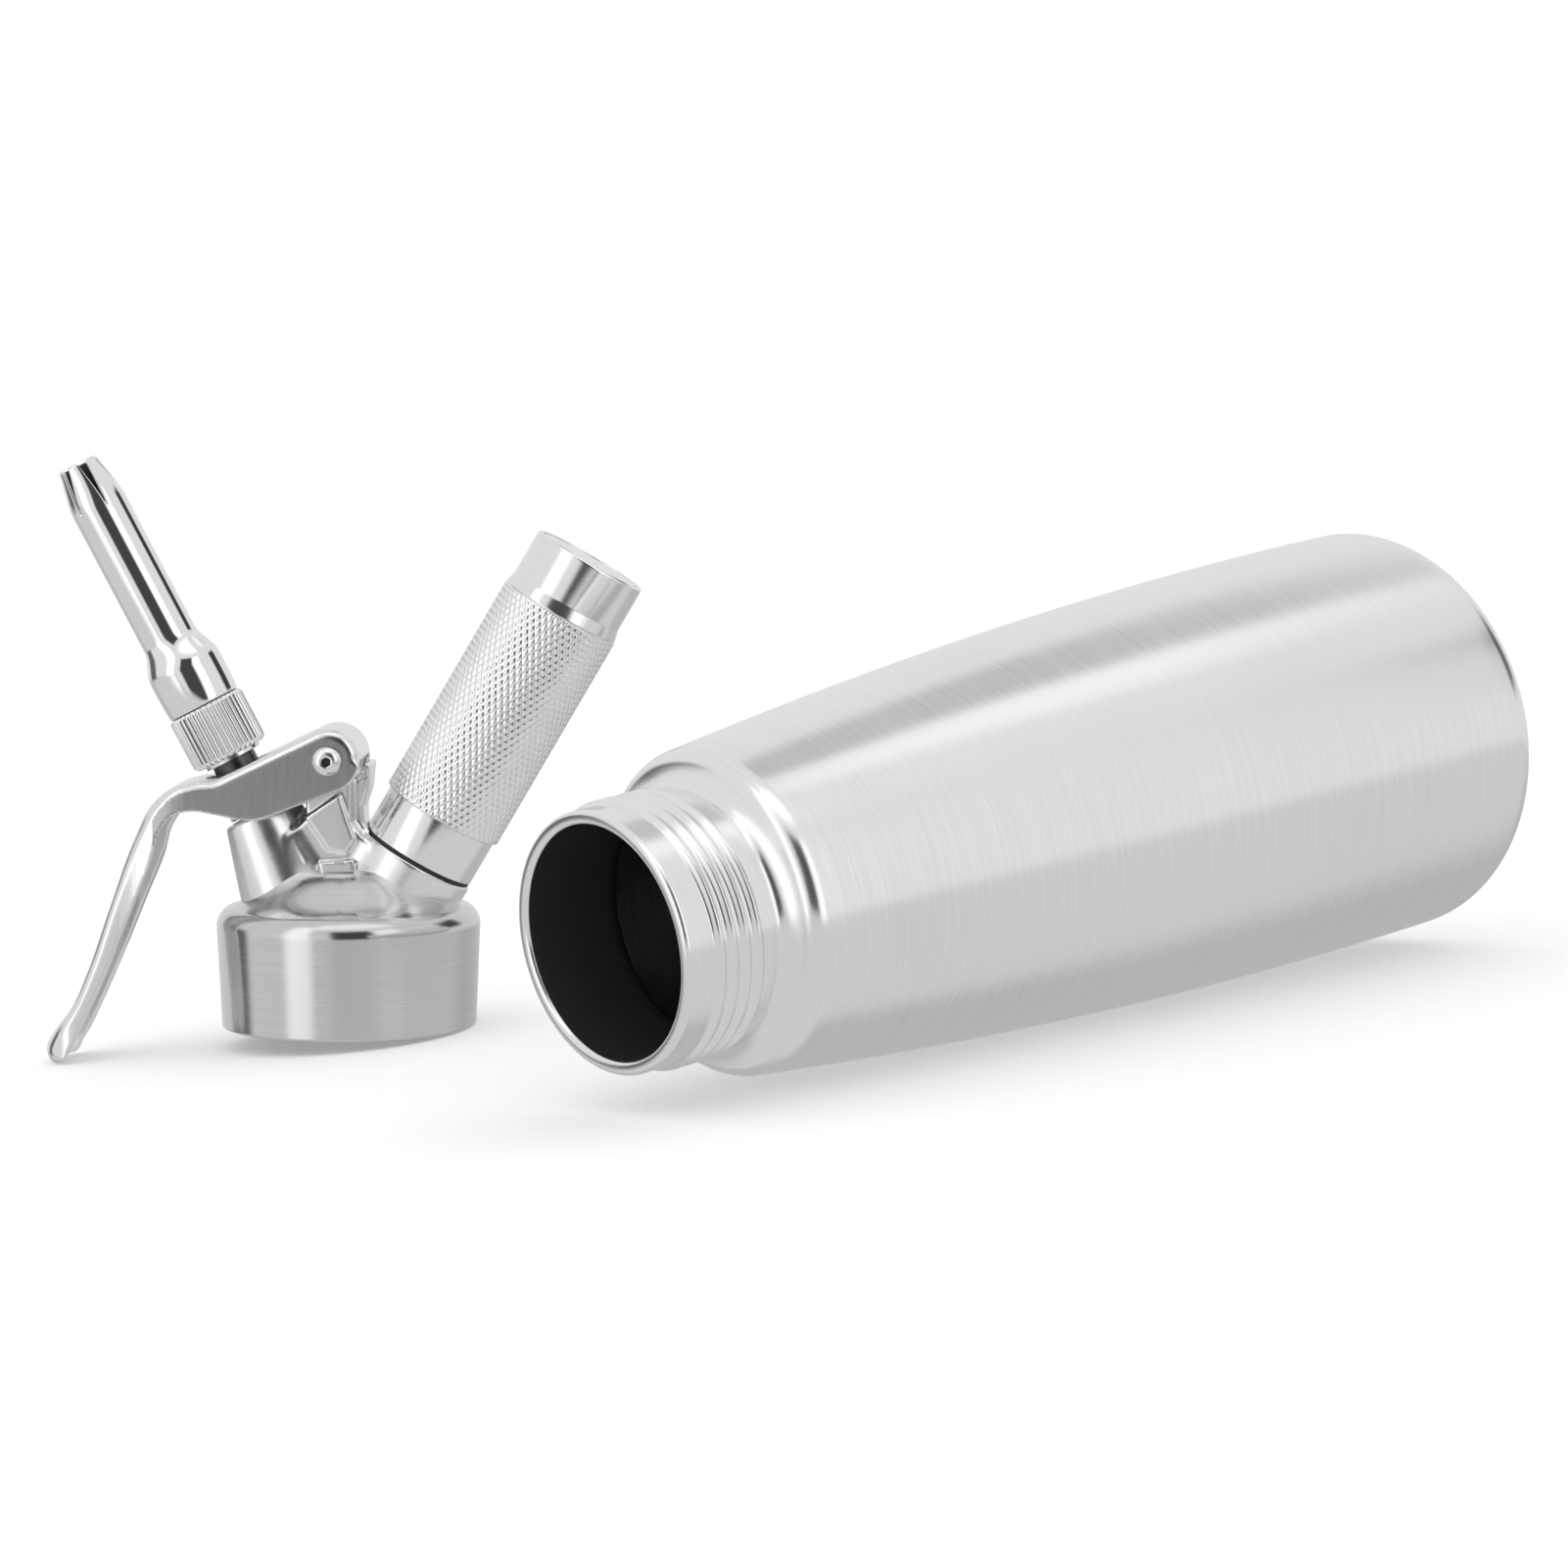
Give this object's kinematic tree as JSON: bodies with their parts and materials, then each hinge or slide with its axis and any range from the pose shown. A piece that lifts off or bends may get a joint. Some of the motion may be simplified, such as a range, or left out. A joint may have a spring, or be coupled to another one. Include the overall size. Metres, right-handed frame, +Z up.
{
  "type": "whipped cream dispenser",
  "caption": "Metal whipped cream dispenser: threaded bottle on its side, unscrewed head with lever, slotted nozzle tip and knurled charger holder.",
  "frame": {"origin": "on the surface that both halves stand on, under the middle of the whole arrangement's box", "axes": "+Z up; the bottle lies along +X with its mouth towards -X; the head stands at -X, +Y"},
  "size_m": [0.261, 0.2672, 0.1454],
  "materials": {
    "bottle_steel": "satin brushed round its axis",
    "head_steel": "satin",
    "lever_steel": "polished, with brushed flanges",
    "nozzle_steel": "mirror polished",
    "holder_alloy": "satin, diamond knurled",
    "dark_steel": "dark",
    "small_steel": "bright turned",
    "inner_brass": "turned",
    "black_rubber": "matt",
    "grey_silicone": "matt",
    "white_plastic": "plain",
    "charger_steel": "plated"
  },
  "bodies": {
    "bottle": {"bottle_shell": "bottle_steel"},
    "head": {"head_casting": "head_steel", "lever_post": "head_steel", "head_gasket": "grey_silicone", "port_nipple": "inner_brass", "port_o_ring": "black_rubber", "piercing_pin": "small_steel", "pin_gasket": "black_rubber", "non_return_valve": "black_rubber", "lever_screw": "small_steel", "lever_nut": "small_steel", "lever_bush": "white_plastic", "lever_washers": "white_plastic", "piston_guide_bush": "inner_brass", "piston_spring": "small_steel"},
    "lever": {"lever": "lever_steel"},
    "piston": {"piston_stem": "dark_steel", "stem_thread": "dark_steel", "piston_valve_seal": "black_rubber", "piston_end_screw": "small_steel", "piston_upper_seal": "black_rubber", "piston_collar": "small_steel", "retaining_clip": "small_steel"},
    "nozzle_carrier": {"nozzle_washer": "black_rubber"},
    "nozzle": {"nozzle_nut": "small_steel", "nozzle_tip": "nozzle_steel"},
    "charger_carrier": {"gas_charger": "charger_steel"},
    "holder": {"charger_holder": "holder_alloy", "holder_end_disc": "holder_alloy"}
  },
  "joints": [
    {"name": "head_lift", "type": "slide", "parent": "bottle", "child": "head", "axis": [0, 0, 1], "range_m": [0, 0.15]},
    {"name": "lever_pivot", "type": "hinge", "parent": "head", "child": "lever", "pos_m": [-0.06826, 0.07734, 0.06791], "axis": [-0.6613, -0.7501, 0], "range_deg": [0, 8], "stiffness_Nm_per_rad": 1.3, "springref_deg": -6.88},
    {"name": "piston_stroke", "type": "slide", "parent": "head", "child": "piston", "axis": [0.2836, -0.25, -0.9258], "range_m": [0, 0.00364], "deforming": ["piston_spring"]},
    {"name": "nozzle_travel", "type": "slide", "parent": "piston", "child": "nozzle_carrier", "axis": [-0.2836, 0.25, 0.9258], "range_m": [0, 0.00625]},
    {"name": "nozzle_turn", "type": "hinge", "parent": "nozzle_carrier", "child": "nozzle", "pos_m": [-0.08021, 0.08788, 0.04905], "axis": [-0.2836, 0.25, 0.9258], "range_deg": [0, 1800]},
    {"name": "holder_travel", "type": "slide", "parent": "head", "child": "charger_carrier", "axis": [0.4365, -0.3848, 0.8132], "range_m": [0, 0.01]},
    {"name": "holder_turn", "type": "hinge", "parent": "charger_carrier", "child": "holder", "pos_m": [-0.0547, 0.06538, 0.04211], "axis": [0.4365, -0.3848, 0.8132], "range_deg": [0, 1800]}
  ],
  "couplings": [
    {"joint": "lever_pivot", "follows": "piston_stroke", "rad_per_m": 38.402},
    {"joint": "nozzle_turn", "follows": "nozzle_travel", "rad_per_m": 5026.5},
    {"joint": "holder_turn", "follows": "holder_travel", "rad_per_m": 3141.6}
  ]
}
